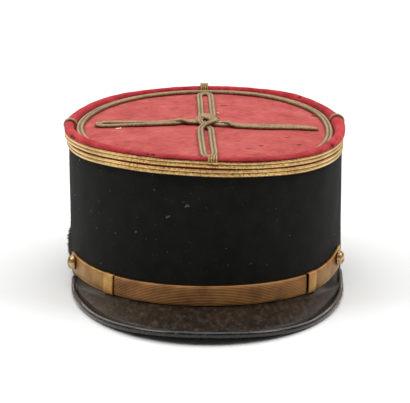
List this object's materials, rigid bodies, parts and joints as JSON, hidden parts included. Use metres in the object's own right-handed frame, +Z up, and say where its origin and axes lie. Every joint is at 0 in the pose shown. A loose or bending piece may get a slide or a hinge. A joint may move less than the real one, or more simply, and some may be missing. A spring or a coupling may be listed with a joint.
{
  "type": "officer's kepi cap",
  "caption": "Stiff oval kepi: black cloth band, sunken red top with looped cross knot, gilt rank braids, gilt false chin strap, leather peak.",
  "frame": {"origin": "centre of the cap's bounding box, on the surface that it stands on", "axes": "+Z up, the peak points towards -Y, +X is the wearer's left"},
  "size_m": [0.1766, 0.2544, 0.1052],
  "materials": {
    "black_wool": "napped wool cloth, matt, lint and wear",
    "red_wool": "napped madder-red wool cloth, faded on top",
    "gilt_braid": "ribbed braid wound with gilt thread, dulled",
    "tarnished_braid": "flat braid wound with gilt thread, tarnished",
    "gilt_leather": "gilt-lacquered leather strap, ribbed, worn",
    "gilt_brass": "stamped gilt brass, tarnished",
    "patent_leather": "black-brown patent leather, crazed and dusty"
  },
  "bodies": {
    "root": {"cloth_band": "black_wool", "crown_disc": "red_wool", "crown_rim": "red_wool", "rank_braid_upper": "gilt_braid", "rank_braid_lower": "gilt_braid", "crown_ring": "tarnished_braid", "knot_centre": "tarnished_braid", "knot_loop_back": "tarnished_braid", "knot_loop_front": "tarnished_braid", "knot_loop_left": "tarnished_braid", "knot_loop_right": "tarnished_braid", "rim_braid_back": "tarnished_braid", "rim_braid_front": "tarnished_braid", "rim_braid_left": "tarnished_braid", "rim_braid_right": "tarnished_braid", "strap_centre": "gilt_leather", "strap_end_left": "gilt_leather", "strap_end_right": "gilt_leather", "strap_slide_left": "gilt_leather", "strap_slide_right": "gilt_leather", "button_left": "gilt_brass", "button_right": "gilt_brass", "peak": "patent_leather", "peak_edge": "patent_leather"}
  },
  "joints": []
}
